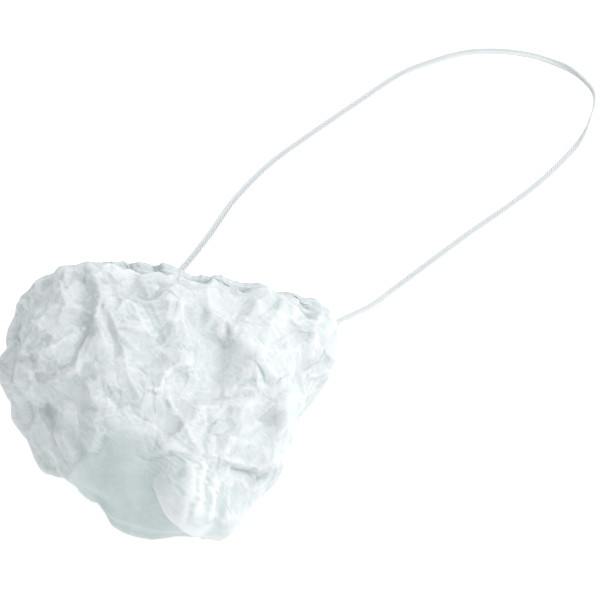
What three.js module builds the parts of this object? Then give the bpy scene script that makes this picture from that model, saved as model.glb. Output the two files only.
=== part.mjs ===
// Beard cover: a crumpled pouch of spunbond cloth, an elasticated hem round its mouth and one elastic head
// strap. It lies on a flat surface with its mouth towards +Y and its closed end towards -Y.
// Millimetres, +Z up, the origin on the surface under the middle of the pouch.
import * as THREE from "three";

// Driving dimensions
const WALL = 1.3; // cloth of the pouch with its loft
const HEM_THICKNESS = 2.2; // cloth folded over the rim elastic
const SAG = 1.3; // underside depth below the widest line, as a share of that height, before it lies flat
const FULLNESS = 0.86; // 1 makes the sections elliptic, less makes them fuller
const MOUTH_SKEW = 0.13; // how much further back the left of the mouth is than the right
const STRAP_WIDTH = 3.2;
const STRAP_THICKNESS = 0.9;
const STRAP_EDGE = 0.27; // rounding of its edges

// Gathers drawn up by the rim elastic
const GATHERS = 24;
const GATHER_DEPTH = 1.7;
const GATHER_START = 0.72; // where they begin, as a share of the way to the hem
const NECK_DEPTH = 2; // how far the elastic draws the cloth in
const NECK_SPREAD = 0.05; // how far along the pouch that reaches
const SLACK_END = 0.86; // from here to the hem the folds die out, because the elastic holds the cloth

// Small crumples all over the cloth
const CRUMPLES = 64;
const CRUMPLE = { length: 16, width: 5.5, rise: 3.4 };
const CRUMPLE_SPAN = [0.08, 0.94]; // where they begin and end along the pouch
const GOLDEN_TURN = 137.5; // degrees from one crumple round to the next
const CRUMPLE_TURN = 77; // degrees from the run of one crumple to that of the next
const FOLD_REACH = 16; // a fold fades out this far above and below its own spot

// Facets of the solids
const FACETS_ROUND = 96;
const FACETS_ALONG = 22;
const HEM_FACETS_ALONG = 3;
const STRAP_STEPS = 78;

// Cross-sections from the closed end to the frill edge.
// along: share of the way to the hem; y: place; left, right: half widths;
// widest: height of the widest line; top: height of the crown
const SECTIONS = [
  { along: 0.0, y: -55.5, left: 0, right: 0, widest: 5, top: 13 },
  { along: 0.1, y: -53.5, left: 19, right: 20, widest: 7, top: 20 },
  { along: 0.22, y: -45, left: 32, right: 27, widest: 12, top: 33 },
  { along: 0.38, y: -30, left: 47, right: 43, widest: 17, top: 45 },
  { along: 0.55, y: -10, left: 61, right: 51, widest: 20, top: 53 },
  { along: 0.72, y: 13, left: 65, right: 60, widest: 20, top: 55 },
  { along: 0.85, y: 32, left: 60, right: 63, widest: 17, top: 49 },
  { along: 0.94, y: 42, left: 54, right: 63, widest: 13, top: 42 },
  { along: 1.0, y: 46, left: 44, right: 62.5, widest: 10, top: 37 },
  { along: 1.06, y: 51, left: 43, right: 64, widest: 10, top: 38 },
];
const POUCH_END = 1;
const HEM_START = 1.007; // the room between is taken up by the seam
const HEM_END = 1.06;

// Main folds. A positive rise is a ridge, a negative one a valley.
// around: degrees from the right-hand side over the top; along: share of the way to the hem;
// turn: degrees from the way round the pouch to the way along it; length, width, rise: millimetres
const FOLDS = [
  { name: "flap over the closed end", around: 84, along: 0.13, turn: 70, length: 18, width: 9, rise: 5 },
  { name: "hollow left of the flap", around: 112, along: 0.16, turn: 70, length: 18, width: 6, rise: -6 },
  { name: "left shoulder", around: 124, along: 0.89, turn: 0, length: 26, width: 12, rise: 9 },
  { name: "waist left of the closed end", around: 198, along: 0.27, turn: 80, length: 20, width: 9, rise: -7 },
  { name: "hollow in the left side", around: 176, along: 0.5, turn: 10, length: 20, width: 6, rise: -3 },
  { name: "pinch in the middle", around: 78, along: 0.66, turn: 60, length: 22, width: 8, rise: -5 },
  { name: "hollow in the right side", around: 36, along: 0.42, turn: 30, length: 20, width: 8, rise: -5 },
  { name: "hollow under the rim", around: 104, along: 0.9, turn: 80, length: 14, width: 7, rise: -5 },
];

// Strap route over the surface, from the left corner of the hem to the right one
const STRAP_ROUTE = [
  [-43, 59.1, 10], [-33, 61, 6], [-22, 62, 2], [-12, 64, 0.8], [-4, 68, 0.7], [3, 76, 0.7], [13, 92, 0.7],
  [23, 110, 0.7], [37, 128, 0.7], [53, 143, 0.7], [75, 162, 0.7], [93, 177, 0.7], [109, 185, 0.7],
  [121, 189, 0.7], [132, 190, 0.7], [143, 189, 0.7], [154, 186, 0.7], [164, 180, 0.7], [171, 173, 0.7],
  [175, 166, 0.7], [175, 159, 0.7], [173, 152, 0.7], [170, 144, 0.7], [164, 135, 0.7], [151, 120, 0.7],
  [137, 107, 0.7], [119, 92, 0.7], [100, 75, 0.7], [88, 64, 1], [79, 54, 4], [66, 43, 9],
];

const sectionTable = new THREE.CubicInterpolant(
  SECTIONS.map((row) => row.along),
  SECTIONS.flatMap((row) => [row.y, row.left, row.right, row.widest, row.top]),
  5,
);

// Point of the smooth pouch before folds: round in radians from the right over the top, along as in SECTIONS.
function smoothPoint(round, along) {
  const [y, left, right, widest, top] = sectionTable.evaluate(along);
  const across = Math.sign(Math.cos(round)) * Math.abs(Math.cos(round)) ** FULLNESS;
  const up = Math.sign(Math.sin(round)) * Math.abs(Math.sin(round)) ** FULLNESS;
  const x = across * (across > 0 ? right : left);
  const z = widest + up * (up > 0 ? top - widest : widest * SAG);
  return new THREE.Vector3(x, y - MOUTH_SKEW * x * along * along, z);
}

// Smooth point with the way round the pouch and the way out of it.
function smoothFrame(round, along) {
  const step = 0.002;
  const ahead = Math.max(along, 10 * step);
  const point = smoothPoint(round, along);
  const way = smoothPoint(round + step, ahead).sub(smoothPoint(round - step, ahead)).normalize();
  const lengthways = smoothPoint(round, ahead + step).sub(smoothPoint(round, ahead - step)).normalize();
  const out = new THREE.Vector3().crossVectors(lengthways, way).normalize();
  return { point, way, out };
}

// Places each fold on the smooth pouch, with its run and the way across it.
function placeFold(fold) {
  const { point, way, out } = smoothFrame(THREE.MathUtils.degToRad(fold.around), fold.along);
  const turn = THREE.MathUtils.degToRad(fold.turn);
  const lengthways = new THREE.Vector3().crossVectors(way, out);
  const run = way.clone().multiplyScalar(Math.cos(turn)).addScaledVector(lengthways, Math.sin(turn));
  return { ...fold, point, out, run, across: new THREE.Vector3().crossVectors(out, run) };
}

// Small crumples are spread evenly: each a golden turn further round, ridge and valley by turns.
function crumpleRow(index) {
  return {
    around: (index * GOLDEN_TURN) % 360,
    along: THREE.MathUtils.lerp(...CRUMPLE_SPAN, (index + 0.5) / CRUMPLES),
    turn: (index * CRUMPLE_TURN) % 180,
    length: CRUMPLE.length,
    width: CRUMPLE.width,
    rise: CRUMPLE.rise * (index % 2 ? 1 : -1),
  };
}

const crumpleRows = Array.from({ length: CRUMPLES }, (_, index) => crumpleRow(index));
const placedFolds = [...FOLDS, ...crumpleRows].map(placeFold);

function foldRise(point) {
  let rise = 0;
  for (const fold of placedFolds) {
    const offset = point.clone().sub(fold.point);
    const lengthShare = offset.dot(fold.run) / fold.length;
    const widthShare = offset.dot(fold.across) / fold.width;
    const depthShare = offset.dot(fold.out) / FOLD_REACH;
    rise += fold.rise * Math.exp(-(lengthShare ** 2) - widthShare ** 2 - depthShare ** 2);
  }
  return rise;
}

function gatherRise(round, along) {
  const drawn = THREE.MathUtils.smoothstep(along, GATHER_START, POUCH_END);
  const neck = Math.exp(-(((along - POUCH_END) / NECK_SPREAD) ** 2));
  return drawn * GATHER_DEPTH * Math.cos(GATHERS * round + Math.sin(3 * round)) - NECK_DEPTH * neck;
}

// Point of the folded cloth at a depth in from its mean face, kept up by the surface it lies on.
function clothPoint(round, along, depth, clearance) {
  const { point, out } = smoothFrame(round, along);
  const slack = 1 - THREE.MathUtils.smoothstep(along, SLACK_END, POUCH_END);
  point.addScaledVector(out, slack * foldRise(point) + gatherRise(round, along) - depth);
  point.z = Math.max(point.z, clearance);
  return point;
}

function solid(corners, faces) {
  const geometry = new THREE.BufferGeometry();
  geometry.setAttribute("position", new THREE.Float32BufferAttribute(corners, 3));
  geometry.setIndex(faces);
  geometry.computeVertexNormals();
  return geometry;
}

// Closed shell of cloth between two places along the pouch. It starts from one point where from is 0.
function clothShell(from, to, rings, outerDepth, innerDepth) {
  const corners = [];
  const faces = [];
  const startsAtPoint = from === 0;
  const addWall = (depth, clearance) => {
    const rows = [];
    for (let ring = 0; ring <= rings; ring++) {
      const along = from + ((to - from) * ring) / rings;
      const count = startsAtPoint && ring === 0 ? 1 : FACETS_ROUND;
      rows.push(Array.from({ length: count }, (_, side) => {
        corners.push(...clothPoint((2 * Math.PI * side) / FACETS_ROUND, along, depth, clearance).toArray());
        return corners.length / 3 - 1;
      }));
    }
    return rows;
  };
  const addBand = (lower, upper) => {
    for (let side = 0; side < FACETS_ROUND; side++) {
      const next = (side + 1) % FACETS_ROUND;
      faces.push(lower[side], upper[next], lower[next], lower[side], upper[side], upper[next]);
    }
  };
  const addFan = (tip, ring, inward) => {
    for (let side = 0; side < FACETS_ROUND; side++) {
      const next = (side + 1) % FACETS_ROUND;
      faces.push(tip, ...(inward ? [ring[next], ring[side]] : [ring[side], ring[next]]));
    }
  };
  const outer = addWall(outerDepth, 0);
  const inner = addWall(innerDepth, innerDepth - outerDepth);
  const first = startsAtPoint ? 1 : 0;
  if (startsAtPoint) {
    addFan(outer[0][0], outer[1], false);
    addFan(inner[0][0], inner[1], true);
  } else {
    addBand(inner[0], outer[0]);
  }
  for (let ring = first; ring < rings; ring++) {
    addBand(outer[ring], outer[ring + 1]);
    addBand(inner[ring + 1], inner[ring]);
  }
  addBand(outer[rings], inner[rings]);
  return solid(corners, faces);
}

// Route whose width stays level, so that the strap lies flat.
class LevelRoute extends THREE.CatmullRomCurve3 {
  computeFrenetFrames(steps) {
    const tangents = Array.from({ length: steps + 1 }, (_, step) => this.getTangentAt(step / steps));
    const normals = tangents.map((ahead) => new THREE.Vector3(ahead.y, -ahead.x, 0).normalize());
    const binormals = tangents.map((ahead, step) => new THREE.Vector3().crossVectors(ahead, normals[step]));
    return { tangents, normals, binormals };
  }
}

// Flat strap with rounded edges, swept along its route.
function strapGeometry() {
  const [half, edge] = [STRAP_THICKNESS / 2, STRAP_WIDTH / 2];
  const [low, inset] = [half - STRAP_EDGE, edge - STRAP_EDGE];
  const section = [
    [edge, low], [inset, half], [-inset, half], [-edge, low],
    [-edge, -low], [-inset, -half], [inset, -half], [edge, -low],
  ];
  const outline = new THREE.Shape(section.map((corner) => new THREE.Vector2(...corner)));
  const route = new LevelRoute(STRAP_ROUTE.map((point) => new THREE.Vector3(...point)));
  return new THREE.ExtrudeGeometry(outline, { steps: STRAP_STEPS, bevelEnabled: false, extrudePath: route });
}

const spunbond = new THREE.MeshStandardMaterial({ color: 0xeef3f4, roughness: 0.85, metalness: 0 });
const hemCloth = new THREE.MeshStandardMaterial({ color: 0xf1f5f6, roughness: 0.85, metalness: 0 });
const elastic = new THREE.MeshStandardMaterial({ color: 0xf6f7f7, roughness: 0.7, metalness: 0 });

function named(name, geometry, material) {
  const mesh = new THREE.Mesh(geometry, material);
  mesh.name = name;
  return mesh;
}

const beardCover = new THREE.Group();
beardCover.name = "beard_cover";
beardCover.add(
  named("pouch", clothShell(0, POUCH_END, FACETS_ALONG, 0, WALL), spunbond),
  named("rim_hem", clothShell(HEM_START, HEM_END, HEM_FACETS_ALONG, 0, HEM_THICKNESS), hemCloth),
  named("head_strap", strapGeometry(), elastic),
);

export default beardCover;
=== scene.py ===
import math

import bmesh
import bpy
import numpy as np
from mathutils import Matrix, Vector, geometry, interpolate
from mathutils.bvhtree import BVHTree
from mathutils.kdtree import KDTree


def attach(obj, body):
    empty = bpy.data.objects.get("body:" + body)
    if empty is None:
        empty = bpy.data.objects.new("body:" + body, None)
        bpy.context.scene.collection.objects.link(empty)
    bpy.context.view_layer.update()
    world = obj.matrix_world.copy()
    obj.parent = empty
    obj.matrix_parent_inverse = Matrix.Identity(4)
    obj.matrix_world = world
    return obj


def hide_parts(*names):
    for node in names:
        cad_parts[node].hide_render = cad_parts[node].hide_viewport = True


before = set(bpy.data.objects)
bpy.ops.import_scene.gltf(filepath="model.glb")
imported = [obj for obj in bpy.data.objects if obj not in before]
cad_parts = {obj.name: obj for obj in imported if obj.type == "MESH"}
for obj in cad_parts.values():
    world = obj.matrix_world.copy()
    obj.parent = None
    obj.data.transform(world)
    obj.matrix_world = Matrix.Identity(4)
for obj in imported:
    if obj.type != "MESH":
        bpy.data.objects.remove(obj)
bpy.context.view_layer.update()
scene = bpy.context.scene

# Camera
# Looks down from above the closed end of the pouch, as the photo does.
# The strap's loop lies behind the pouch, at the upper right of the frame.
ELEVATION = math.radians(55)
AIM = Vector((0.050, 0.049, 0.015))
DISTANCE = 1.2
FRAME_WIDTH = 0.240
camera = bpy.data.objects.new("camera", bpy.data.cameras.new("camera"))
scene.collection.objects.link(camera)
camera.data.lens = camera.data.sensor_width * DISTANCE / FRAME_WIDTH
camera.location = AIM + Vector((0, -math.cos(ELEVATION), math.sin(ELEVATION))) * DISTANCE
camera.rotation_euler = (math.pi / 2 - ELEVATION, 0, 0)
scene.camera = camera

# Head strap
# Flat elastic, 3.2 mm wide, of white yarns braided over rubber threads. It is sewn into both corners
# of the mouth. It lies on the floor in one loop and stands on its edge at the far bend.
STRAP_WIDTH = 0.0032
STRAP_YARNS = 6  # a real braid has about thirteen finer ones
STRAP_PITCH = 0.0084  # length in which a yarn goes across and back
YARN_RADIUS = 0.0004
YARN_STEP = 0.0004
YARN_LIFT = 0.00022  # how far a yarn rises and dips as it crosses the others
STRAP_ROUTE = [
    (-43, 59.1, 10), (-33, 61, 6), (-22, 62, 2), (-12, 64, 0.8), (-4, 68, 0.7), (3, 76, 0.7), (13, 92, 0.7),
    (23, 110, 0.7), (37, 128, 0.7), (53, 143, 0.7), (75, 162, 0.7), (93, 177, 0.7), (109, 185, 0.7),
    (121, 189, 0.7), (132, 190, 0.7), (143, 189, 0.7), (154, 186, 0.7), (164, 180, 0.7), (171, 173, 0.7),
    (175, 166, 0.7), (175, 159, 0.7), (173, 152, 0.7), (170, 144, 0.7), (164, 135, 0.7), (151, 120, 0.7),
    (137, 107, 0.7), (119, 92, 0.7), (100, 75, 0.7), (88, 64, 1), (79, 54, 4), (64.4, 41.9, 9.3),
]
EDGE_BEND = Vector((0.175, 0.163, 0))  # middle of the stretch that stands on its edge
EDGE_REACH = 0.030
EDGE_TURN = math.radians(80)


def node(tree, kind, inputs=None, **settings):
    """Adds a node, sets it, and links or fills its inputs."""
    made = tree.nodes.new(kind)
    for name, value in settings.items():
        setattr(made, name, value)
    for name, value in (inputs or {}).items():
        if isinstance(value, bpy.types.NodeSocket):
            tree.links.new(value, made.inputs[name])
        else:
            made.inputs[name].default_value = value
    return made


def colour(code):
    """Linear colour of an sRGB hex code."""
    parts = [int(code[place:place + 2], 16) / 255 for place in (1, 3, 5)]
    return [part / 12.92 if part < 0.04045 else ((part + 0.055) / 1.055) ** 2.4 for part in parts] + [1]


def new_material(name):
    """Material with its node tree, its shader and that shader's output already linked."""
    made = bpy.data.materials.new(name)
    made.use_nodes = True
    return made, made.node_tree, made.node_tree.nodes["Principled BSDF"]


def smooth_route(points, steps):
    """Catmull-Rom line through the points, in metres."""
    ends = [2 * points[0] - points[1], *points, 2 * points[-1] - points[-2]]
    line = []
    for a, b, c, d in zip(ends, ends[1:], ends[2:], ends[3:]):
        for step in range(steps):
            t = step / steps
            line.append(b + 0.5 * t * (c - a + t * (2 * a - 5 * b + 4 * c - d + t * (3 * (b - c) + d - a))))
    return [*line, points[-1]]


def new_group(name, sockets):
    """Geometry node group with a geometry in and out and the named inputs."""
    made = bpy.data.node_groups.new(name, "GeometryNodeTree")
    made.interface.new_socket("Geometry", in_out="INPUT", socket_type="NodeSocketGeometry")
    made.interface.new_socket("Geometry", in_out="OUTPUT", socket_type="NodeSocketGeometry")
    for socket, kind in sockets.items():
        made.interface.new_socket(socket, in_out="INPUT", socket_type="NodeSocket" + kind)
    return made, made.nodes.new("NodeGroupInput").outputs, made.nodes.new("NodeGroupOutput").inputs


def grown_mesh(piece, group, values):
    """Mesh that a geometry node group makes of a piece, with the group's inputs set to the values."""
    modifier = piece.modifiers.new(group.name, "NODES")
    modifier.node_group = group
    for item in group.interface.items_tree:
        if item.in_out == "INPUT" and item.name in values:
            modifier[item.identifier] = values[item.name]
    piece.update_tag()
    made = bpy.data.meshes.new_from_object(piece.evaluated_get(bpy.context.evaluated_depsgraph_get()))
    piece.modifiers.remove(modifier)
    return made


strap_line = smooth_route([Vector(point) / 1000 for point in STRAP_ROUTE], 8)
strap_turns = []
for spot in strap_line:
    near = max(0, 1 - ((spot - EDGE_BEND).length / EDGE_REACH) ** 2)
    strap_turns.append(EDGE_TURN * near * near * (3 - 2 * near))
    spot.z += abs(math.sin(strap_turns[-1])) * STRAP_WIDTH / 2

strap_curve = bpy.data.curves.new("head_strap_line", "CURVE")
strap_curve.dimensions = "3D"
strap_curve.twist_mode = "Z_UP"
spline = strap_curve.splines.new("POLY")
spline.points.add(len(strap_line) - 1)
for point, spot, turn in zip(spline.points, strap_line, strap_turns):
    point.co = (*spot, 1)
    point.tilt = turn
strap_guide = bpy.data.objects.new("head_strap_line", strap_curve)
scene.collection.objects.link(strap_guide)

# White polyester yarn: soft, a little silky, with thin grey lines where the yarns cross.
yarn, tree, shader = new_material("braided_elastic")
place = node(tree, "ShaderNodeTexCoord").outputs["Object"]
fibres = node(tree, "ShaderNodeTexNoise", {"Vector": place, "Scale": 2500, "Detail": 3})
tone = node(tree, "ShaderNodeMix", {"Factor": fibres.outputs["Fac"]}, data_type="RGBA")
tone.inputs["A"].default_value = colour("#c6c8ca")
tone.inputs["B"].default_value = colour("#e4e6e7")
bump = node(tree, "ShaderNodeBump", {"Height": fibres.outputs["Fac"], "Strength": 0.4, "Distance": 0.0001})
tree.links.new(tone.outputs["Result"], shader.inputs["Base Color"])
tree.links.new(bump.outputs["Normal"], shader.inputs["Normal"])
shader.inputs["Roughness"].default_value = 0.6
shader.inputs["Sheen Weight"].default_value = 0.2

braid, given, result = new_group("braid", {
    "Yarns": "Int", "Pitch": "Float", "Reach": "Float", "Lift": "Float", "Radius": "Float", "Step": "Float",
    "Material": "Material",
})
line = node(braid, "GeometryNodeResampleCurve", {
    "Curve": given["Geometry"], "Length": given["Step"],
}, mode="LENGTH")
copies = node(braid, "GeometryNodeDuplicateElements", {
    "Geometry": line.outputs["Curve"], "Amount": given["Yarns"],
}, domain="SPLINE")
run = node(braid, "GeometryNodeSplineParameter")
turns = node(braid, "ShaderNodeMath", {0: run.outputs["Length"], 1: given["Pitch"]}, operation="DIVIDE")
share = node(braid, "ShaderNodeMath", {
    0: copies.outputs["Duplicate Index"], 1: given["Yarns"],
}, operation="DIVIDE")
both = node(braid, "ShaderNodeMath", {0: turns.outputs[0], 1: share.outputs[0]})
phase = node(braid, "ShaderNodeMath", {0: both.outputs[0], 1: 2 * math.pi}, operation="MULTIPLY")
swing = node(braid, "ShaderNodeMath", {0: phase.outputs[0]}, operation="SINE")
double = node(braid, "ShaderNodeMath", {0: phase.outputs[0], 1: -2}, operation="MULTIPLY")
dip = node(braid, "ShaderNodeMath", {0: double.outputs[0]}, operation="SINE")
across = node(braid, "ShaderNodeMath", {0: swing.outputs[0], 1: given["Reach"]}, operation="MULTIPLY")
height = node(braid, "ShaderNodeMath", {0: dip.outputs[0], 1: given["Lift"]}, operation="MULTIPLY")
side = node(braid, "GeometryNodeInputNormal").outputs["Normal"]
ahead = node(braid, "GeometryNodeInputTangent").outputs["Tangent"]
top = node(braid, "ShaderNodeVectorMath", {0: side, 1: ahead}, operation="CROSS_PRODUCT").outputs["Vector"]
sideways = node(braid, "ShaderNodeVectorMath", {0: side, "Scale": across.outputs[0]}, operation="SCALE")
upwards = node(braid, "ShaderNodeVectorMath", {0: top, "Scale": height.outputs[0]}, operation="SCALE")
shift = node(braid, "ShaderNodeVectorMath", {0: sideways.outputs["Vector"], 1: upwards.outputs["Vector"]})
placed = node(braid, "GeometryNodeSetPosition", {
    "Geometry": copies.outputs["Geometry"], "Offset": shift.outputs["Vector"],
})
ring = node(braid, "GeometryNodeCurvePrimitiveCircle", {"Resolution": 5, "Radius": given["Radius"]})
tubes = node(braid, "GeometryNodeCurveToMesh", {
    "Curve": placed.outputs["Geometry"], "Profile Curve": ring.outputs["Curve"], "Fill Caps": True,
})
smooth = node(braid, "GeometryNodeSetShadeSmooth", {"Geometry": tubes.outputs["Mesh"]})
real = node(braid, "GeometryNodeRealizeInstances", {"Geometry": smooth.outputs["Geometry"]})
painted = node(braid, "GeometryNodeSetMaterial", {
    "Geometry": real.outputs["Geometry"], "Material": given["Material"],
})
braid.links.new(painted.outputs["Geometry"], result["Geometry"])

strap_mesh = grown_mesh(strap_guide, braid, {
    "Yarns": STRAP_YARNS, "Pitch": STRAP_PITCH, "Reach": STRAP_WIDTH / 2 - YARN_RADIUS, "Lift": YARN_LIFT,
    "Radius": YARN_RADIUS, "Step": YARN_STEP, "Material": yarn,
})
bpy.data.objects.remove(strap_guide)
head_strap = bpy.data.objects.new("head_strap_braid", strap_mesh)
scene.collection.objects.link(head_strap)
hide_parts("head_strap")
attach(head_strap, "root")

# Pouch
# One layer of spunbond polypropylene, a matt white cloth of thin fibres melted together in small points.
# It was packed flat and pulled open, so it is crumpled all over, with a flap folded over at the closed end.
POUCH_ROUND = 280
POUCH_ALONG = 150
POUCH_CLOTH = 0.0004  # with its loft
POUCH_GIRTH = 0.3  # way round it, which sets the scale of the cloth's pattern
FLOOR_CLEARANCE = 0.0004
MIDDLE = Vector((0, -0.012, 0.020))  # inside the pouch, where the rays that find its wall start
MOUTH = Vector((0.009, 0.0475, 0.020))
MOUTH_SKEW = 0.13  # how much further back the left of the mouth is than the right
BELT = 0.55  # way at which the columns of the cloth are evenly spaced
UNDERSIDE = 0.5  # share of the columns that the underside gets, as it isn't seen
DOME = 0.4  # share of the way to the rim where the closed end turns into the sides
POLE = Vector((0, -0.6, -0.8))  # from the middle to where the rows of the cloth begin, underneath
CRUMPLE_SEED = 3
# Facets of the crumpled cloth, large to small, in millimetres: spacing of their corners, rise, slide
FACETS = [(9, 0.35, 0.7), (4.5, 0.1, 0.25)]
FACET_STRETCH = 1.5  # how much longer they are towards the rim than round the pouch
INSET = 0.0010  # the form is drawn in by this, because the crumples stand out of it
SLACK = 0.004  # how much longer the cloth is than the form that it fills
SUCTION = -1.6  # draws the cloth in between the ridges, as the air goes out of a crumpled bag
HOLD_RIDGES = 0.9  # how firmly the ridges, the smooth stretch and the rest keep their place meanwhile
HOLD_SMOOTH = 0.98
HOLD_CLOTH = 0.02
RIDGE_LINE = 0.0006  # half the width of the line that is held along a ridge
SIMULATION_SCALE = 10  # Blender's cloth works best on things about a metre wide
SIMULATION_FRAMES = 14
LARGEST_MOVE = 0.006
RIM_CALM = 0.03  # share of the cloth, next to the rim, that is less crumpled
FLOOR_CALM = 0.008  # height under which it is less crumpled
CREASE_SIZE = 0.001  # how far a sharp fold stands out of the cloth around it
PHOTO_PIXELS = 600  # the photo's width and height
# Folds that the photo shows: line in its pixels, rise in millimetres (a ridge if positive), and in
# millimetres how far its slope reaches to the left or upwards and to the right or downwards
FOLDS = [
    ("left edge of the leaf-shaped facet",
     [(112, 312), (121, 330), (128, 352), (133, 376), (143, 396)], 2.2, 6, 17),
    ("edge of the layer in the middle",
     [(187, 362), (172, 366), (163, 376), (160, 388), (150, 386)], 2.4, 12, 3),
    ("bright column", [(170, 399), (177, 414), (186, 428), (197, 446)], 1.9, 9, 5),
    ("patch right of the layer's edge", [(185, 338), (200, 342), (207, 356), (196, 376)], 1.6, 8, 10),
    ("tip under the strap", [(166, 289), (178, 300), (182, 322), (186, 338)], 2.0, 12, 9),
    ("fold at the upper left", [(72, 335), (57, 345), (42, 352)], 2.0, 6, 4),
    ("higher fold at the upper left", [(60, 306), (46, 312), (36, 322)], 1.6, 7, 6),
    ("edge of the square facet", [(14, 380), (31, 378), (35, 398), (40, 412)], 1.4, 8, 6),
    ("first fold at the lower left", [(64, 414), (61, 436), (70, 452)], 1.6, 6, 6),
    ("second fold at the lower left", [(92, 416), (97, 432), (92, 446)], 1.6, 8, 5),
    ("fold down from the rim's dip", [(97, 282), (100, 300), (96, 322), (104, 345)], 1.8, 9, 6),
    ("fold left of the rim's dip", [(68, 272), (62, 290), (66, 306)], 1.8, 8, 8),
    ("fold left of the leaf's foot", [(76, 372), (88, 388), (92, 404)], 1.5, 8, 6),
    ("edge of the large right facet", [(250, 400), (240, 427), (222, 458)], 1.8, 9, 12),
    ("small facet at the right edge", [(272, 409), (288, 402), (302, 401)], 1.6, 4, 8),
    ("long ridge to the right corner", [(222, 330), (250, 345), (282, 352), (312, 344)], 1.6, 10, 10),
    ("ridge to the upper right corner", [(258, 306), (276, 290), (289, 285)], 3.0, 7, 7),
    ("ridge down from that corner", [(286, 304), (272, 330), (262, 356)], 1.6, 8, 10),
    ("ridge right of the strap", [(206, 290), (212, 312), (208, 330)], 1.5, 8, 8),
    ("foot of the large right facet", [(252, 366), (232, 380), (226, 398)], 1.2, 8, 8),
    ("fold to the lower right edge", [(282, 420), (286, 444), (276, 462)], 1.5, 7, 6),
    ("ridge over the lower right recess", [(214, 452), (238, 460), (262, 466)], 1.8, 9, 4),
    ("first upright fold at the flap", [(205, 466), (202, 486), (199, 506)], 1.1, 5, 4),
    ("second upright fold at the flap", [(219, 468), (216, 490), (214, 510)], 1.1, 4, 4),
    ("third upright fold at the flap", [(232, 484), (229, 500), (228, 512)], 1.0, 4, 4),
    ("fold inside the flap", [(192, 468), (193, 490), (187, 512)], 1.2, 5, 5),
    ("ridge over the flap", [(150, 452), (170, 446), (196, 452)], 1.4, 10, 4),
    ("bump in front of the strap", [(166, 279), (178, 277), (188, 283)], 2.2, 5, 6),
    ("left side of the square facet", [(5, 362), (4, 380), (8, 402), (14, 420)], 4.2, 9, 9),
    ("dip below the upper right corner", [(302, 301), (314, 309)], -2.6, 6, 6),
    ("dip in the lower left edge", [(45, 471), (58, 485)], -3.2, 8, 9),
    ("recess under the rim", [(136, 290), (146, 293), (158, 283)], -3.0, 6, 6),
    ("crease down from the recess", [(141, 297), (150, 312), (156, 326)], -1.2, 3, 3),
    ("crease at the upper right", [(247, 298), (238, 314), (226, 332)], -1.8, 3, 3),
    ("level crease", [(196, 397), (220, 398), (250, 396)], -1.2, 3, 3),
    ("recess at the lower right", [(238, 468), (250, 474), (262, 482)], -2.6, 4, 4),
    ("dip between two bumps of the rim", [(78, 270), (84, 288)], -2.4, 5, 5),
    ("hollow at the left edge", [(18, 344), (32, 344), (46, 341)], -1.6, 4, 4),
    ("dip in the left edge", [(8, 322), (5, 336), (8, 348)], -3.6, 8, 9),
]
RIDGES = 90  # further ones at random, none close to those of the photo
RIDGE_CLEARANCE = 0.007
GATHERS = 44  # short ridges that start at the rim, where the elastic draws the cloth up
LEAN = 0.2  # a fold leans to its steep side, by this share of the difference between its two reaches
LARGEST_LEAN = 0.0012
# Outline of the smooth stretch that goes under the flap, in the photo's pixels
SMOOTH = [
    (70, 478), (96, 436), (130, 424), (152, 440), (154, 466), (160, 484), (170, 500), (186, 514), (206, 526),
    (216, 560), (120, 570), (60, 530),
]
SMOOTH_UNDER = -0.5  # it goes on round the pouch's outline until the cloth faces this far away
SMOOTHING = 1000  # rounds of evening out that draw it tight
SOFTENING = 240  # rounds that soften its edge
CLOSING = 8  # gaps up to twice as many cells wide are part of it
SMOOTH_FACETS = 0.4  # share of the facets' rise that it keeps
BULGE = 0.0034  # its rise at the pouch's outline
BULGE_PIXELS = 28  # it rises over this many pixels from its edge
FLAP_EDGE = [(153, 472), (159, 490), (170, 506), (186, 518), (205, 527), (220, 531)]
# The flap's cloth by its distance from that edge, all in millimetres: moved to the left, and raised
FLAP_DISTANCE = (-14, -4, 0, 5, 16)
FLAP_LEFT = (0, -3, 4.5, 3, 0)
FLAP_RISE = (0, 0, 3, 2.6, 0)
FLAP_FADE = 0.006  # it dies away over this length past the ends of its edge
FLAP_CALM = 0.014  # distance from its edge within which the facets are flatter
FLAP_START = 0.016  # it rises to its full height over this length
FLAP_HELD = 7  # millimetres to each side of its edge that keep their place
# Band along the edge that gets a painted highlight, partly for the double layer of the folded edge, and one
# behind it that is smooth and gets painted shade, in millimetres
LIP_MIDDLE = 0.8
LIP_WIDTH = 1.3
LIP_HIGHLIGHT = 0.3
HOLLOW_MIDDLE = 6.5
HOLLOW_WIDTH = 3.5


def wall_of(name):
    """Tree of a CAD node's faces, to cast rays at."""
    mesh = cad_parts[name].data
    return BVHTree.FromPolygons([v.co for v in mesh.vertices], [f.vertices for f in mesh.polygons])


def wall_point(wall, turn, way):
    """Outer face of the wall, or None where it has none: way 0 is the closed end and about 1 the rim."""
    out = Vector((math.cos(turn), 0, math.sin(turn)))
    if way < DOME:
        start, ray = MIDDLE, POLE.slerp(out, way / DOME)
    else:
        share = (way - DOME) / (1 - DOME)
        start, ray = MIDDLE.lerp(MOUTH, share), out - Vector((0, MOUTH_SKEW * share ** 2 * out.x, 0))
    ray.normalize()
    return wall.ray_cast(start + ray * 0.3, -ray, 0.29)[0]


def span(wall, turn):
    """First and last way, past the dome, at which the wall is met."""
    ways = np.arange(0.7, 1.3, 0.002)
    met = [wall_point(wall, turn, way) is not None for way in ways]
    first = met.index(True)
    return ways[first], ways[met.index(False, first) - 1]


def evened(values, pick):
    """Values round the mouth, each the smallest or largest of those near it, without steps between them."""
    picked = pick([np.roll(values, step) for step in range(-8, 9)], axis=0)
    return np.mean([np.roll(picked, step) for step in range(-8, 9)], axis=0)


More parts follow.
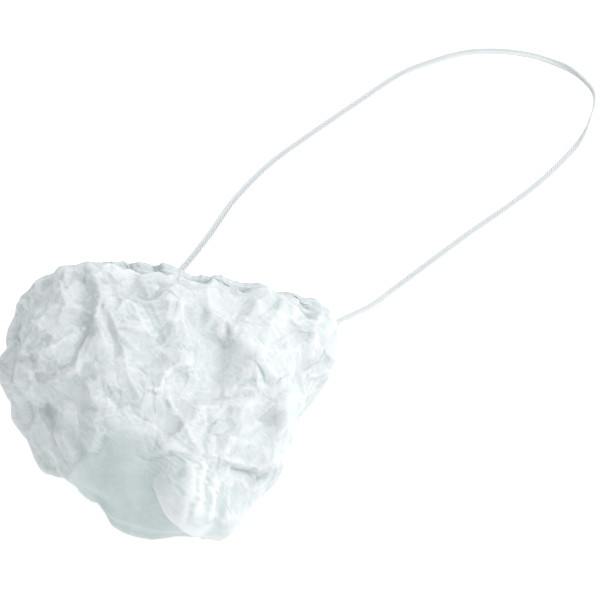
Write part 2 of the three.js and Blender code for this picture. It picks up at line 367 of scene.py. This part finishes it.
def even_shares(wall, ends, count):
    """Shares of the way from the closed end to the rim with even cloth between them."""
    fine = np.linspace(0, 1, 160)
    total = np.zeros(len(fine))
    for turn, end in ends[::len(ends) // 14]:
        spots = np.array([wall_point(wall, turn, way) for way in fine * end])
        total[1:] += np.cumsum(np.minimum(np.linalg.norm(np.diff(spots, axis=0), axis=1), 0.004)) / 14
    return np.interp(np.linspace(0, total[-1], count + 1), total, fine), total[-1]


def line_offsets(spots, line):
    """For each spot: way to the nearest point of a line, and the line's direction there."""
    nearest = np.full(len(spots), np.inf)
    ways = np.zeros_like(spots)
    runs = np.zeros_like(spots)
    for start, end in zip(line, line[1:]):
        run = end - start
        share = np.clip((spots - start) @ run / (run @ run), 0, 1)
        way = spots - (start + share[:, None] * run)
        distance = np.linalg.norm(way, axis=1)
        closer = distance < nearest
        nearest[closer] = distance[closer]
        ways[closer] = way[closer]
        runs[closer] = run / np.linalg.norm(run)
    return nearest, ways, runs


pouch_wall = wall_of("pouch")
fine = np.linspace(0, 2 * math.pi, 721)
belt = np.array([wall_point(pouch_wall, turn, BELT) for turn in fine])
widths = np.linalg.norm(np.diff(belt, axis=0), axis=1) * np.where(np.sin(fine[1:]) < -0.3, UNDERSIDE, 1)
widths = np.append(0, np.cumsum(widths))
turns = np.interp(np.arange(POUCH_ROUND) / POUCH_ROUND * widths[-1], widths, fine).tolist()
ends = list(zip(turns, evened([span(pouch_wall, turn)[1] for turn in turns], np.min)))
shares, pouch_length = even_shares(pouch_wall, ends, POUCH_ALONG)
corners = [wall_point(pouch_wall, turn, share * end) for share in shares[1:] for turn, end in ends]
corners.append(wall_point(pouch_wall, 0, 0))
rows = np.append(np.repeat(np.arange(1, POUCH_ALONG + 1) / POUCH_ALONG, POUCH_ROUND), 0)
flat = rows[:, None] * np.array([(math.cos(turn), math.sin(turn)) for turn in [*turns * POUCH_ALONG, 0]])
faces = []
for ring in range(POUCH_ALONG - 1):
    for side in range(POUCH_ROUND):
        here = ring * POUCH_ROUND + side
        there = ring * POUCH_ROUND + (side + 1) % POUCH_ROUND
        faces.append((here, there, there + POUCH_ROUND, here + POUCH_ROUND))
faces += [(len(corners) - 1, (side + 1) % POUCH_ROUND, side) for side in range(POUCH_ROUND)]
pouch_mesh = bpy.data.meshes.new("pouch_cloth")
pouch_mesh.from_pydata(corners, [], faces)
work = bmesh.new()
work.from_mesh(pouch_mesh)
inner = [v for v in work.verts if not v.is_boundary]
for _ in range(6):
    bmesh.ops.smooth_vert(work, verts=inner, factor=0.5, use_axis_x=True, use_axis_y=True, use_axis_z=True)
bmesh.ops.recalc_face_normals(work, faces=work.faces)
work.to_mesh(pouch_mesh)
work.free()
form = np.array([v.co for v in pouch_mesh.vertices])
out = np.array([v.normal for v in pouch_mesh.vertices])
if (out * (form - np.array(MIDDLE))).sum() < 0:
    raise ValueError("the pouch is inside out")


def ray_through(across, down):
    """Start and direction of the camera's ray through a pixel of the photo."""
    side = (across / PHOTO_PIXELS - 0.5) * FRAME_WIDTH / DISTANCE
    up = (0.5 - down / PHOTO_PIXELS) * FRAME_WIDTH / DISTANCE
    return camera.location, (camera.rotation_euler.to_matrix() @ Vector((side, up, -1))).normalized()


def on_pouch(pixels):
    """Points of the pouch's wall that the photo shows at these pixels, or nearest to them."""
    spots = []
    for start, ray in (ray_through(*pixel) for pixel in pixels):
        spot = pouch_wall.ray_cast(start, ray)[0]
        if spot is None:
            depths = DISTANCE * np.linspace(0.94, 1.06, 49)
            close = [pouch_wall.find_nearest(start + ray * depth) for depth in depths]
            spot = min(close, key=lambda found: found[3])[0]
        spots.append(spot)
    return np.array(spots)


def around(field):
    """Mean of the four neighbours of each cell of the cloth's grid."""
    beside = np.roll(field, 1, 0) + np.roll(field, -1, 0) + np.roll(field, 1, 1) + np.roll(field, -1, 1)
    return beside / 4


# Smooth stretch, drawn tight between its edges
seen_from = np.array(camera.location)
turned = (form - seen_from) @ np.array(camera.rotation_euler.to_matrix())
pixels = (0.5 + turned[:, :2] / -turned[:, 2:] * (1, -1) * DISTANCE / FRAME_WIDTH) * PHOTO_PIXELS
smooth = np.zeros(len(form), bool)
for (x, y), (past_x, past_y) in zip(SMOOTH, SMOOTH[1:] + SMOOTH[:1]):
    if y != past_y:
        crossed = (y > pixels[:, 1]) != (past_y > pixels[:, 1])
        smooth ^= crossed & (pixels[:, 0] < x + (past_x - x) * (pixels[:, 1] - y) / (past_y - y))
facing = (out * (seen_from - form)).sum(1) / np.linalg.norm(seen_from - form, axis=1)
smooth &= facing > SMOOTH_UNDER
patch = smooth[:-1].reshape(POUCH_ALONG, POUCH_ROUND)
for step in range(2 * CLOSING):
    sides = [np.roll(patch, shift, axis) for shift in (1, -1) for axis in (0, 1)]
    patch[:] = np.any([patch, *sides], 0) if step < CLOSING else np.all([patch, *sides], 0)
edges = np.array([(*corner, 0) for corner in SMOOTH + SMOOTH[:1]])
inside = line_offsets(np.column_stack([pixels, np.zeros(len(form))]), edges)[0] / BULGE_PIXELS
bulge = BULGE * smooth * np.minimum(inside, 1) * np.clip(2.5 * facing + 1.2, 0, 1)
crumple = np.where(smooth, 0.0, 1.0)
taut = np.where(smooth, 1.0, 0.0)
for values, count in ((bulge, SOFTENING // 10), (taut, SOFTENING // 6), (crumple, SOFTENING)):
    field = values[:-1].reshape(patch.shape)
    for _ in range(count):
        field[:] = (field + around(field)) / 2
tight = form.copy()
grid = tight[:-1].reshape(POUCH_ALONG, POUCH_ROUND, 3)
loose = patch.copy()
loose[[0, -1]] = False
for _ in range(SMOOTHING):
    grid[loose] = (grid[loose] + around(grid)[loose]) / 2
form += (tight - form) * np.clip(2 * taut - 1, 0, 1)[:, None]
pouch_mesh.vertices.foreach_set("co", form.ravel())
pouch_mesh.update()
out = np.array([v.normal for v in pouch_mesh.vertices])

# Folds of the photo and random ridges, then the flap
draw = np.random.default_rng(CRUMPLE_SEED)
to_right = np.array(camera.rotation_euler.to_matrix() @ Vector((1, -0.6, 0)))
creases = [(on_pouch(pixels), *(size / 1000 for size in sizes)) for name, pixels, *sizes in FOLDS]
photo_spots = np.vstack([spots for spots, *_ in creases])
for _ in range(RIDGES):
    ring = draw.uniform(8, POUCH_ALONG - 6)
    side = draw.uniform(0, POUCH_ROUND)
    heading = draw.normal(0, 0.7)
    line = []
    for _ in range(draw.integers(4, 10)):
        line.append(int(ring) * POUCH_ROUND + int(side) % POUCH_ROUND)
        heading += draw.normal(0, 0.25)
        ring = min(max(ring + 4 * math.cos(heading), 1), POUCH_ALONG - 1)
        side += 4 * math.sin(heading)
    sizes = (draw.uniform(0.0008, 0.0016), *draw.uniform(0.003, 0.010, 2))
    clear = min(np.linalg.norm(photo_spots - spot, axis=1).min() for spot in form[line])
    if clear > RIDGE_CLEARANCE and not smooth[line].any():
        creases.append((form[line], *sizes))
rim = form[-1 - POUCH_ROUND:-1]
rim_run = np.cumsum(np.linalg.norm(rim - np.roll(rim, 1, 0), axis=1))
for number in range(GATHERS):
    side = np.searchsorted(rim_run, (number + draw.uniform(0, 0.8)) * rim_run[-1] / GATHERS)
    drift = draw.normal(0, 0.8)
    line = [form[(POUCH_ALONG - 2 - 3 * step) * POUCH_ROUND + int(side + drift * step) % POUCH_ROUND]
            for step in range(draw.integers(3, 8))]
    creases.append((np.array(line), draw.uniform(0.0006, 0.0012), 0.002, 0.003))
high = np.zeros(len(form))
low = np.zeros(len(form))
crests = np.zeros(len(form), bool)
slide = np.zeros_like(form)
for line, rise, before, beyond in creases:
    centre = line.mean(0)
    widest = np.linalg.norm(line - centre, axis=1).max() + max(before, beyond)
    near = np.flatnonzero(((form - centre) ** 2).sum(1) < widest ** 2)
    distance, ways, runs = line_offsets(form[near], line)
    aside = np.cross(runs, out[near])
    aside *= (np.sign(aside @ to_right) / np.linalg.norm(aside, axis=1))[:, None]
    to_aside = (ways * aside).sum(1) / np.maximum(distance, 1e-9)
    reach = before + (beyond - before) * (0.5 + 0.5 * to_aside)
    tent = abs(rise) * np.maximum(0, 1 - distance / reach)
    if rise > 0:
        crests[near] = np.where(tent > high[near], distance < RIDGE_LINE, crests[near])
        high[near] = np.maximum(high[near], tent)
        lean = np.clip(LEAN * (before - beyond), -LARGEST_LEAN, LARGEST_LEAN)
        slide[near] += aside * (lean * tent / rise)[:, None]
    else:
        low[near] = np.maximum(low[near], tent)
calm = np.clip((1 - rows) / RIM_CALM, 0, 1) * np.clip(form[:, 2] / FLOOR_CALM, 0.1, 1)
slide *= np.minimum(1, LARGEST_LEAN / np.maximum(np.linalg.norm(slide, axis=1, keepdims=True), 1e-9))
high = np.maximum(high, INSET * (1 - crumple)) + bulge
start = form + out * (calm * (high - low - INSET))[:, None] + slide * calm[:, None]
flap_line = np.array(smooth_route([Vector(spot) for spot in on_pouch(FLAP_EDGE)], 8))
distance, ways, runs = line_offsets(form, flap_line)
right = np.cross(runs, out)
right *= np.where(right[:, :1] < 0, -1, 1)
ahead = (ways * right).sum(1) * 1000
fade = np.exp(-((ways * runs).sum(1) / FLAP_FADE) ** 2 - ((ways * out).sum(1) / FLAP_FADE) ** 2)
fade *= np.clip(np.linalg.norm(form - ways - flap_line[0], axis=1) / FLAP_START, 0.1, 1)
# Weights of the painted highlight on the flap's lip and of the painted shade on the band behind it
lip = fade * np.exp(-((ahead - LIP_MIDDLE) / LIP_WIDTH) ** 2)
hollow = fade * np.exp(-((ahead - HOLLOW_MIDDLE) / HOLLOW_WIDTH) ** 2)
start += out * (fade * np.interp(ahead, FLAP_DISTANCE, FLAP_RISE) / 1000)[:, None]
start -= right * (fade * np.interp(ahead, FLAP_DISTANCE, FLAP_LEFT) / 1000)[:, None]

# Crumples: flat facets between corners that are spread at random and pushed in or out
calm *= np.clip(distance / FLAP_CALM, 0.15, 1) * np.where(smooth, SMOOTH_FACETS, 1)
drawn_up = form / (1, FACET_STRETCH, FACET_STRETCH)
crowd = KDTree(len(form))
for index, spot in enumerate(drawn_up):
    crowd.insert(spot, index)
crowd.balance()


def facets(spacing, rise, slide):
    """Shift of the cloth by flat facets."""
    corners = []
    taken = np.zeros(len(form), bool)
    for index in draw.permutation(len(form)):
        if not taken[index]:
            corners.append(index)
            taken[[near for _, near, _ in crowd.find_range(drawn_up[index], spacing)]] = True
    moves = out[corners] * (draw.uniform(-rise, rise, len(corners)) * calm[corners])[:, None]
    moves += draw.uniform(-slide, slide, (len(corners), 3)) * calm[corners, None]
    frame_spots = [Vector((1.2 * math.cos(turn), 1.2 * math.sin(turn))) for turn in np.linspace(0, 6.2, 24)]
    moves = np.vstack([moves, np.zeros((24, 3))])
    spots, _, triangles, origins, *_ = geometry.delaunay_2d_cdt(
        [Vector(flat[index]) for index in corners] + frame_spots, [], [], 0, 1e-6)
    moves = moves[[origin[0] for origin in origins]]
    finder = BVHTree.FromPolygons([spot.to_3d() for spot in spots], triangles)
    shift = np.zeros_like(form)
    for index, place in enumerate(flat):
        spot, _, face, _ = finder.ray_cast(Vector((*place, 1)), Vector((0, 0, -1)))
        three = list(triangles[face])
        weights = interpolate.poly_3d_calc([spots[k].to_3d() for k in three], spot)
        shift[index] = np.array(weights) @ moves[three]
    return shift


for sizes in FACETS:
    start += facets(*(size / 1000 for size in sizes))
start[:, 2] = np.maximum(start[:, 2], FLOOR_CLEARANCE)

# The cloth is a little longer than the form. It is held along its ridges and drawn in between them.
settled = start
pouch_mesh.vertices.foreach_set("co", (start * SIMULATION_SCALE).ravel())
cloth = bpy.data.objects.new("cloth", pouch_mesh)
scene.collection.objects.link(cloth)
hold = np.round(HOLD_CLOTH + (HOLD_SMOOTH - HOLD_CLOTH) * (1 - crumple), 2)
hold[crests] = HOLD_RIDGES
hold[(fade > 0.4) & (abs(ahead) < FLAP_HELD)] = HOLD_RIDGES
hold[rows > 0.97] = HOLD_RIDGES
hold[rows > 0.995] = 1
group = cloth.vertex_groups.new(name="hold")
for weight in np.unique(hold):
    group.add(np.flatnonzero(hold == weight).tolist(), float(weight), "REPLACE")
modifier = cloth.modifiers.new("Cloth", "CLOTH")
settings = modifier.settings
settings.quality = 5
settings.mass = 0.1
settings.tension_stiffness = settings.compression_stiffness = 15
settings.shear_stiffness = 7.5
settings.bending_stiffness = 0.2
settings.tension_damping = settings.compression_damping = settings.shear_damping = 10
settings.bending_damping = 0.5
settings.air_damping = 5
settings.vertex_group_mass = "hold"
settings.shrink_min = settings.shrink_max = -SLACK
settings.use_pressure = True
settings.uniform_pressure_force = SUCTION
settings.effector_weights.gravity = 0
modifier.collision_settings.use_collision = False
modifier.point_cache.frame_end = SIMULATION_FRAMES
for number in range(1, SIMULATION_FRAMES + 1):
    scene.frame_set(number)
ready = cloth.evaluated_get(bpy.context.evaluated_depsgraph_get())
moved = np.array([v.co for v in ready.data.vertices]) / SIMULATION_SCALE - start
scene.frame_set(1)
bpy.data.objects.remove(cloth)
far = np.linalg.norm(moved, axis=1, keepdims=True)
settled = start + moved * np.minimum(1, LARGEST_MOVE / np.maximum(far, 1e-9))
settled[:, 2] = np.maximum(settled[:, 2], FLOOR_CLEARANCE)
pouch_mesh.vertices.foreach_set("co", settled.ravel())
pouch_mesh.update()

# How far each point of the cloth stands out of the cloth around it, as a share of a sharp fold
grid = settled[:-1].reshape(POUCH_ALONG, POUCH_ROUND, 3)
normals = np.array([v.normal for v in pouch_mesh.vertices])[:-1].reshape(grid.shape)
down, up = np.clip([np.arange(-1, POUCH_ALONG - 1), np.arange(1, POUCH_ALONG + 1)], 0, POUCH_ALONG - 1)
mean = (grid[down] + grid[up] + np.roll(grid, 1, 1) + np.roll(grid, -1, 1)) / 4
crease = np.append((((grid - mean) * normals).sum(2) / CREASE_SIZE).ravel(), 0)
# Colour marks: the first attribute paints ridges and the flap's lip whiter, as painted highlight, and
# hollows darker, as painted shade; where the second is low, on the smooth stretch and behind the lip, the
# colour is painted darker as painted shade.
for name, values in (("crease", crease + LIP_HIGHLIGHT * lip), ("crumple", crumple * (1 - hollow))):
    pouch_mesh.attributes.new(name, "FLOAT", "POINT").data.foreach_set("value", values.astype(np.float32))

# Matt white polypropylene: soft and slightly see-through, with fine streaks of fibre and small shiny bonds.
UV_METRES = 0.1  # one unit of the cloth's UV map
spunbond, tree, shader = new_material("spunbond_polypropylene")
place = node(tree, "ShaderNodeTexCoord").outputs["UV"]
clouds = node(tree, "ShaderNodeTexNoise", {"Vector": place, "Scale": 14, "Detail": 4, "Roughness": 0.6})
streaks = []
for turn in (0.4, 1.9):
    laid = node(tree, "ShaderNodeMapping", {
        "Vector": place, "Rotation": (0, 0, turn), "Scale": (26, 120, 1),
    })
    streaks.append(node(tree, "ShaderNodeTexNoise", {
        "Vector": laid.outputs["Vector"], "Scale": 1, "Detail": 2,
    }))
fibres = node(tree, "ShaderNodeMath", {
    0: streaks[0].outputs["Fac"], 1: streaks[1].outputs["Fac"],
}, operation="MAXIMUM")
# Bonds are 0.6 mm wide and 1.5 mm apart on the real cloth; they are drawn 2.2 mm apart to show at all.
bands = [node(tree, "ShaderNodeTexWave", {"Vector": place, "Scale": UV_METRES / 0.0022 / 3.18},
              wave_type="BANDS", bands_direction=way) for way in ("X", "Y")]
crossing = node(tree, "ShaderNodeMath", {
    0: bands[0].outputs["Fac"], 1: bands[1].outputs["Fac"],
}, operation="MULTIPLY")
bonds = node(tree, "ShaderNodeMapRange", {"Value": crossing.outputs[0], "From Min": 0.55, "From Max": 0.8})
# Painted highlight and shade: cloth that stands out of the cloth around it is painted whiter, partly for the
# whitening of fibres at a fold, and cloth in hollows is painted a little darker grey.
folded = node(tree, "ShaderNodeAttribute", attribute_name="crease").outputs["Fac"]
thick = node(tree, "ShaderNodeMapRange", {"Value": clouds.outputs["Fac"], "To Min": 0.22, "To Max": 0.78})
cloudy = node(tree, "ShaderNodeMath", {
    0: fibres.outputs[0], 1: 0.4, 2: thick.outputs["Result"],
}, operation="MULTIPLY_ADD")
white = node(tree, "ShaderNodeMath", {0: folded, 1: 1.9, 2: cloudy.outputs[0]}, operation="MULTIPLY_ADD")
bumps = node(tree, "ShaderNodeMath", {
    0: bonds.outputs["Result"], 1: -0.5, 2: fibres.outputs[0],
}, operation="MULTIPLY_ADD")
# Small flat facets within the modelled ones, each leaning its own way, with borders painted lighter, as
# painted highlight that partly stands for fibres whitened at a fold:
# size in metres, lean, and how much lighter the painted highlight makes the border
SHADED_FACETS = [(0.013, 0.28, 0.12), (0.006, 0.44, 0.06), (0.0032, 0.36, 0.04)]
FACET_BORDER = 0.0004
solid_place = node(tree, "ShaderNodeTexCoord").outputs["Object"]
bent = node(tree, "ShaderNodeTexNoise", {"Vector": solid_place, "Scale": 70, "Detail": 2})
warped = node(tree, "ShaderNodeVectorMath", {
    0: bent.outputs["Color"], 1: (0.012, 0.012, 0.012), 2: solid_place,
}, operation="MULTIPLY_ADD")
drawn = node(tree, "ShaderNodeVectorMath", {
    0: warped.outputs["Vector"], 1: (1, 0.6, 0.6),
}, operation="MULTIPLY")
crumpled = node(tree, "ShaderNodeAttribute", attribute_name="crumple").outputs["Fac"]
leaning = node(tree, "ShaderNodeNewGeometry").outputs["Normal"]
# Painted shade: less crumpled cloth, that is the smooth stretch under the flap, the band behind its lip and
# a little the hem, is painted darker grey.
painted_shade = node(tree, "ShaderNodeMapRange", {"Value": crumpled, "To Min": -0.3, "To Max": 0})
white = node(tree, "ShaderNodeMath", {0: white.outputs[0], 1: painted_shade.outputs["Result"]})
for size, lean, border_highlight in SHADED_FACETS:
    cells = node(tree, "ShaderNodeTexVoronoi", {"Vector": drawn.outputs["Vector"], "Scale": 1 / size})
    centred = node(tree, "ShaderNodeVectorMath", {
        0: cells.outputs["Color"], 1: (0.5, 0.5, 0.5),
    }, operation="SUBTRACT")
    steep = node(tree, "ShaderNodeMath", {0: crumpled, 1: lean}, operation="MULTIPLY")
    tilt = node(tree, "ShaderNodeVectorMath", {
        0: centred.outputs["Vector"], "Scale": steep.outputs[0],
    }, operation="SCALE")
    leaning = node(tree, "ShaderNodeVectorMath", {0: tilt.outputs["Vector"], 1: leaning}).outputs["Vector"]
    borders = node(tree, "ShaderNodeTexVoronoi", {"Vector": drawn.outputs["Vector"], "Scale": 1 / size},
                   feature="DISTANCE_TO_EDGE")
    # Painted highlight along the facet's borders
    edge = node(tree, "ShaderNodeMapRange", {
        "Value": borders.outputs["Distance"], "From Max": FACET_BORDER / size, "To Min": border_highlight, "To Max": 0,
    })
    shown = node(tree, "ShaderNodeMath", {0: edge.outputs["Result"], 1: crumpled}, operation="MULTIPLY")
    white = node(tree, "ShaderNodeMath", {0: white.outputs[0], 1: shown.outputs[0]})
# The mix runs from the cloth's grey to its white; its factor holds the painted highlight and shade as well
# as the cloth's own clouds and streaks.
tone = node(tree, "ShaderNodeMix", {"Factor": white.outputs[0]}, data_type="RGBA")
tone.inputs["A"].default_value = colour("#bacac8")
tone.inputs["B"].default_value = colour("#eeeff1")
flat_facets = node(tree, "ShaderNodeVectorMath", {0: leaning}, operation="NORMALIZE")
raised = node(tree, "ShaderNodeBump", {
    "Height": bumps.outputs[0], "Strength": 0.35, "Distance": 0.0002,
    "Normal": flat_facets.outputs["Vector"],
})
gloss = node(tree, "ShaderNodeMapRange", {"Value": bonds.outputs["Result"], "To Min": 0.75, "To Max": 0.5})
tree.links.new(tone.outputs["Result"], shader.inputs["Base Color"])
tree.links.new(raised.outputs["Normal"], shader.inputs["Normal"])
tree.links.new(gloss.outputs["Result"], shader.inputs["Roughness"])
shader.inputs["Sheen Weight"].default_value = 0.15
through = node(tree, "ShaderNodeBsdfTranslucent", {
    "Color": tone.outputs["Result"], "Normal": raised.outputs["Normal"],
})
thin = node(tree, "ShaderNodeMixShader", {0: 0.25, 1: shader.outputs["BSDF"], 2: through.outputs["BSDF"]})
tree.links.new(thin.outputs["Shader"], tree.nodes["Material Output"].inputs["Surface"])

work = bmesh.new()
work.from_mesh(pouch_mesh)
cloth_uv = work.loops.layers.uv.verify()
for face in work.faces:
    face.smooth = True
    wraps = max(loop.vert.index % POUCH_ROUND for loop in face.loops) > POUCH_ROUND * 0.9
    for loop in face.loops:
        side = loop.vert.index % POUCH_ROUND
        side += POUCH_ROUND if wraps and side < POUCH_ROUND / 2 else 0
        loop[cloth_uv].uv = (side / POUCH_ROUND * POUCH_GIRTH / UV_METRES,
                             rows[loop.vert.index] * pouch_length / UV_METRES)
work.to_mesh(pouch_mesh)
work.free()
pouch_mesh.materials.append(spunbond)
pouch = bpy.data.objects.new("pouch_cloth", pouch_mesh)
scene.collection.objects.link(pouch)
thickness = pouch.modifiers.new("thickness", "SOLIDIFY")
thickness.thickness = POUCH_CLOTH
thickness.offset = -1
pouch.data = bpy.data.meshes.new_from_object(pouch.evaluated_get(bpy.context.evaluated_depsgraph_get()))
pouch.modifiers.clear()
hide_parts("pouch")
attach(pouch, "root")

# Rim hem
# The edge of the pouch's cloth, turned over a thin elastic and sewn down with white thread.
# The elastic draws it up into a narrow frill that stands out round the mouth.
HEM_ROUND = 2 * POUCH_ROUND
HEM_RINGS = 6
HEM_THICKNESS = 0.0009
HEM_LIFT = 0.0004  # how far it lies outside the pouch's cloth
HEM_EDGE = 0.0006  # how far its rounded edge stands out, and how much that varies
HEM_EDGE_WAVE = 0.0005
# Through the material, this value also gives the frill a little of the painted shade of less crumpled cloth.
HEM_CRUMPLE = 0.6  # it is smoother than the pouch
HEM_EVEN = 6  # points to each side that the frill is evened out over
HEM_OVERLAP = 3  # rows of the pouch's cloth that it covers
STITCHED_RING = 4
STITCH_SPACING = 0.0026
STITCH_LENGTH = 0.0019
STITCH_RADIUS = 0.0002
RUFFLE_SEED = 11
RUFFLES = 31
SMALL_RUFFLES = 77
RUFFLE_RISE = 0.0006
# Degrees round the mouth, and share of the frill that stands out there
HEM_STANDING = [(0, 0.9), (15, 0.4), (85, 0.4), (110, 0.6), (140, 0.7), (165, 0.95), (345, 1), (360, 0.9)]
hem_wall = wall_of("rim_hem")
hem_middle = np.array(MOUTH)
hem_turns = np.interp(np.arange(HEM_ROUND) / 2, np.arange(POUCH_ROUND + 1), [*turns, 2 * math.pi])


def inward(spots, distance):
    """Spots moved towards the middle of the mouth, across its axis."""
    way = hem_middle - spots
    way[:, 1] = 0
    return spots + way / np.linalg.norm(way, axis=1, keepdims=True) * distance


outer = []
for row in (POUCH_ALONG - 1 - HEM_OVERLAP, POUCH_ALONG - 1):
    seam = settled[row * POUCH_ROUND:(row + 1) * POUCH_ROUND]
    between = (seam + np.roll(seam, -1, axis=0)) / 2
    outer.append(inward(np.stack([seam, between], 1).reshape(-1, 3), -HEM_LIFT))
spans = np.array([span(hem_wall, turn) for turn in hem_turns])
hem_ends = list(zip(hem_turns, evened(spans[:, 0], np.max), evened(spans[:, 1], np.min)))
standing = np.interp(np.degrees(hem_turns), *zip(*HEM_STANDING))
for share in np.linspace(0, 1, HEM_RINGS):
    ring = np.array([wall_point(hem_wall, turn, first + share * most * (last - first))
                     for (turn, first, last), most in zip(hem_ends, standing)])
    near = [np.roll(ring, step, 0) for step in range(-HEM_EVEN, HEM_EVEN + 1)]
    outer.append(sum(near) / len(near))
draw = np.random.default_rng(RUFFLE_SEED)
steps = np.linalg.norm(outer[-1] - np.roll(outer[-1], 1, 0), axis=1)
along = 2 * math.pi * np.cumsum(steps) / steps.sum()
wander = sum(draw.normal(0, 0.5) * np.sin(count * along + draw.uniform(0, 6.3)) for count in range(2, 8))
ruffle = np.sin(RUFFLES * along + wander) + 0.5 * np.sin(SMALL_RUFFLES * along + 2 * wander)
for ring in range(2, len(outer)):
    outer[ring] = inward(outer[ring], (RUFFLE_RISE * ruffle * (ring - 1) / len(outer))[:, None])
inner = [inward(ring, HEM_THICKNESS) for ring in outer[2:]]
edge = (outer[-1] + inner[-1]) / 2
edge[:, 1] += HEM_EDGE + HEM_EDGE_WAVE * np.sin(RUFFLES // 2 * along + 2 * wander)
rings = [*outer, edge, *inner[::-1]]
corners = np.vstack(rings)
corners[:, 2] = np.maximum(corners[:, 2], FLOOR_CLEARANCE)
faces = []
for ring in range(len(rings)):
    following = (ring + 1) % len(rings)
    for side in range(HEM_ROUND):
        beside = (side + 1) % HEM_ROUND
        faces.append((ring * HEM_ROUND + side, ring * HEM_ROUND + beside,
                      following * HEM_ROUND + beside, following * HEM_ROUND + side))
hem_mesh = bpy.data.meshes.new("rim_hem_frill")
hem_mesh.from_pydata(corners.tolist(), [], faces)
work = bmesh.new()
work.from_mesh(hem_mesh)
bmesh.ops.recalc_face_normals(work, faces=work.faces)
for face in work.faces:
    face.smooth = True
work.to_mesh(hem_mesh)
work.free()
hem_crumple = hem_mesh.attributes.new("crumple", "FLOAT", "POINT")
hem_crumple.data.foreach_set("value", np.full(len(corners), HEM_CRUMPLE, np.float32))
hem_mesh.materials.append(spunbond)

# White sewing thread: tight and slightly shiny.
thread, _, shader = new_material("sewing_thread")
shader.inputs["Base Color"].default_value = colour("#e6e8ea")
shader.inputs["Roughness"].default_value = 0.45

stitching, given, result = new_group("stitches", {
    "Spacing": "Float", "Length": "Float", "Radius": "Float", "Material": "Material",
})
line = node(stitching, "GeometryNodeCurveToPoints", {
    "Curve": given["Geometry"], "Length": given["Spacing"],
}, mode="LENGTH")
stitch = node(stitching, "GeometryNodeMeshUVSphere", {"Segments": 8, "Rings": 6, "Radius": given["Radius"]})
longer = node(stitching, "ShaderNodeMath", {0: given["Length"], 1: given["Radius"]}, operation="DIVIDE")
half = node(stitching, "ShaderNodeMath", {0: longer.outputs[0], 1: 2}, operation="DIVIDE")
shape = node(stitching, "ShaderNodeCombineXYZ", {"X": 1.0, "Y": 1.0, "Z": half.outputs[0]})
laid = node(stitching, "GeometryNodeInstanceOnPoints", {
    "Points": line.outputs["Points"], "Instance": stitch.outputs["Mesh"],
    "Rotation": line.outputs["Rotation"], "Scale": shape.outputs["Vector"],
})
smoothed = node(stitching, "GeometryNodeSetShadeSmooth", {"Geometry": laid.outputs["Instances"]})
real = node(stitching, "GeometryNodeRealizeInstances", {"Geometry": smoothed.outputs["Geometry"]})
painted = node(stitching, "GeometryNodeSetMaterial", {
    "Geometry": real.outputs["Geometry"], "Material": given["Material"],
})
stitching.links.new(painted.outputs["Geometry"], result["Geometry"])

seam_curve = bpy.data.curves.new("hem_seam", "CURVE")
seam_curve.dimensions = "3D"
seam = seam_curve.splines.new("POLY")
seam.points.add(HEM_ROUND - 1)
seam.use_cyclic_u = True
stitched = corners[STITCHED_RING * HEM_ROUND:(STITCHED_RING + 1) * HEM_ROUND]
for point, spot in zip(seam.points, inward(stitched, -STITCH_RADIUS / 2)):
    point.co = (*spot, 1)
seam_guide = bpy.data.objects.new("hem_seam", seam_curve)
scene.collection.objects.link(seam_guide)
stitches = grown_mesh(seam_guide, stitching, {
    "Spacing": STITCH_SPACING, "Length": STITCH_LENGTH, "Radius": STITCH_RADIUS, "Material": thread,
})
bpy.data.objects.remove(seam_guide)
work = bmesh.new()
work.from_mesh(hem_mesh)
work.from_mesh(stitches)
for face in work.faces[len(faces):]:
    face.material_index = 1
work.to_mesh(hem_mesh)
work.free()
hem_mesh.materials.append(thread)
rim_hem = bpy.data.objects.new("rim_hem_frill", hem_mesh)
scene.collection.objects.link(rim_hem)
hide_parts("rim_hem")
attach(rim_hem, "root")

# Floor and light
# A plain white table, a large soft light above at the right, and light from all round that is
# brightest from the right.
floor_mesh = bpy.data.meshes.new("floor")
floor_mesh.from_pydata([(-2, -2, 0), (2, -2, 0), (2, 2, 0), (-2, 2, 0)], [], [(0, 1, 2, 3)])
floor = bpy.data.objects.new("floor", floor_mesh)
scene.collection.objects.link(floor)
table, _, shader = new_material("white_table")
shader.inputs["Base Color"].default_value = colour("#ffffff")
shader.inputs["Roughness"].default_value = 0.9
shader.inputs["Emission Color"].default_value = colour("#ffffff")
shader.inputs["Emission Strength"].default_value = 0.4
floor_mesh.materials.append(table)

world = bpy.data.worlds.new("studio")
scene.world = world
world.use_nodes = True
tree = world.node_tree
sky = node(tree, "ShaderNodeVectorMath", {
    0: node(tree, "ShaderNodeTexCoord").outputs["Generated"], 1: Vector((0.8, 0.15, 0.55)).normalized(),
}, operation="DOT_PRODUCT")
bright = node(tree, "ShaderNodeMapRange", {
    "Value": sky.outputs["Value"], "From Min": -1, "From Max": 1, "To Min": 0.43, "To Max": 1.14,
})
tree.nodes["Background"].inputs["Color"].default_value = colour("#f2f9f9")
tree.links.new(bright.outputs["Result"], tree.nodes["Background"].inputs["Strength"])

lamp = bpy.data.objects.new("key", bpy.data.lights.new("key", "AREA"))
lamp.data.size = 0.7
lamp.data.energy = 7.9
lamp.data.color = colour("#fff9fb")[:3]
lamp.location = (0.64, 0.08, 1.0)
lamp.rotation_euler = (-lamp.location).to_track_quat("-Z", "Y").to_euler()
scene.collection.objects.link(lamp)
scene.view_settings.view_transform = "Standard"
